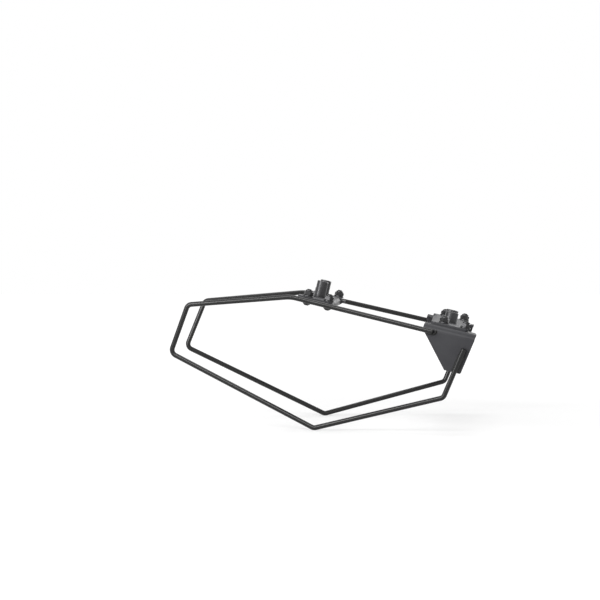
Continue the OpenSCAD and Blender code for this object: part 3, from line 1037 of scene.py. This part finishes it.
for seed, end in enumerate(JOINTS):
    below = joint_points(end, -WASHER_T)
    above = joint_points(end, GRIP)
    on_top = joint_points(end, GRIP + WASHER_T)
    place(end + "_button_bolts", bolt(), below, end + "_bolts", FASTENER_METAL, seed)
    place(end + "_flat_washers", washer(), below + above, end + "_washers", FASTENER_METAL, seed)
    place(end + "_lock_nuts", nut(), on_top, end + "_nuts", FASTENER_METAL, seed + 5)
    along, across, bore_r, height = BUSHES[end]
    feet = [side @ DECK @ Vector((along, across, -height)) for side in SIDES.values()]
    place(end + "_turned_bushes", bush(bore_r, height), feet, end + "_bushes", BUSH_METAL, seed)

# %% [markdown]
# The stage is a floor under the lowest bend and a white world. The floor could simply be lit
# until it is white, but that light would fall on the object too. Its paint is a plain grey
# instead, and for rays that the camera or a reflection sends, it has some light of its own. Near
# the object that light only fills the paint up to white, so that the shadow still shows. It grows
# outwards as the lamps' light falls off, so that the floor meets the white world without a line.


# %% Which rays see the stage
def seen_rays(tree):
    """1 for rays from the camera or a reflection, 0 for the rays that carry light."""
    paths = tree.nodes.new("ShaderNodeLightPath")
    camera_ray = Value(tree, paths.outputs["Is Camera Ray"])
    glossy_ray = Value(tree, paths.outputs["Is Glossy Ray"])
    through_ray = Value(tree, paths.outputs["Is Transmission Ray"])
    return camera_ray.larger(glossy_ray).larger(through_ray)


print("stage lights are seen by camera, glossy and transmission rays")

# %% Floor
FLOOR_SIZE = 12.0
FLOOR_COLOUR = 0.5
FLOOR_CLOUD = 0.4
GLOW_NEAR = 0.49
GLOW_FAR = 0.88
GLOW_FROM = 0.2
GLOW_OVER = 2.4
floor_z = cad_box[0][2]
half = FLOOR_SIZE / 2
floor_corners = [(x * half, y * half, floor_z) for x, y in ((-1, -1), (1, -1), (1, 1), (-1, 1))]
floor_mesh = mesh_of("floor", floor_corners, (), [(0, 1, 2, 3)])
floor = link("floor", floor_mesh)
floor_paint, floor_shader, floor_place = new_material("floor_paint")
worn = floor_place.noise(FLOOR_CLOUD, detail=2.0)
feed(floor_shader, "Base Color", worn.mix(grey(FLOOR_COLOUR), grey(FLOOR_COLOUR * 1.02)))
floor_shader.inputs["Roughness"].default_value = 0.9
floor_shader.inputs["Specular IOR Level"].default_value = 0.1
length = {"operation": "LENGTH"}
floor_away = floor_place.add("ShaderNodeVectorMath", length, {0: floor_place}, out=1)
floor_glow = floor_away.above(GLOW_FROM, GLOW_OVER).mix(grey(GLOW_NEAR), grey(GLOW_FAR))
feed(floor_shader, "Emission Color", seen_rays(floor_paint.node_tree).mix(grey(0.0), floor_glow))
floor_shader.inputs["Emission Strength"].default_value = 1.0
floor_mesh.materials.append(floor_paint)
print("floor at", round(floor_z, 4))

# %% [markdown]
# The world is white only for the camera and for reflections, so the background is clean and the
# rods mirror a bright room. The light that it sheds on the object is set apart, at a plain level.

# %% World
WORLD_LIGHT = 0.25
world = bpy.data.worlds.new("studio")
scene.world = world
world.use_nodes = True
backdrop = world.node_tree.nodes["Background"]
feed(backdrop, "Color", seen_rays(world.node_tree).mix(grey(WORLD_LIGHT), grey(1.0)))
backdrop.inputs["Strength"].default_value = 1.0
print("world light:", WORLD_LIGHT)

# %% [markdown]
# A round black rod shows little but reflections, and a lamp is mirrored in it as a thin line
# along the rod. Small lamps would leave broken dots there. Four soft boxes are used: a wide, low
# strip in front, above and to the left, which draws the line along the rods and the folds; a tall
# one at the left for the upright rods; a weak one overhead for the tops; and one behind, which
# keeps the far side apart.


# %% Lights
def soft_box(name, place_at, aim, width, height, watts):
    data = bpy.data.lights.new(name, "AREA")
    data.shape = "RECTANGLE"
    data.size = width
    data.size_y = height
    data.energy = watts
    lamp = bpy.data.objects.new(name, data)
    lamp.location = place_at
    lamp.rotation_euler = (Vector(aim) - Vector(place_at)).to_track_quat("-Z", "Y").to_euler()
    scene.collection.objects.link(lamp)


CENTRE = ((cad_box[0] + cad_box[1]) / 2)[:]
soft_box("key_box", (-0.75, -1.8, 1.1), CENTRE, 2.2, 0.55, 38)
soft_box("side_box", (-1.5, -1.2, 0.3), CENTRE, 0.5, 1.2, 20)
soft_box("top_box", (-0.1, 0.3, 1.8), CENTRE, 1.2, 0.8, 10)
soft_box("back_box", (0.9, 1.8, 0.7), CENTRE, 0.8, 1.0, 14)
scene.view_settings.view_transform = "Standard"
print("lights aim at", [round(v, 3) for v in CENTRE])

# %% [markdown]
# The dressed model must not outgrow the construction model. A look at a render would not show a
# millimetre too much.
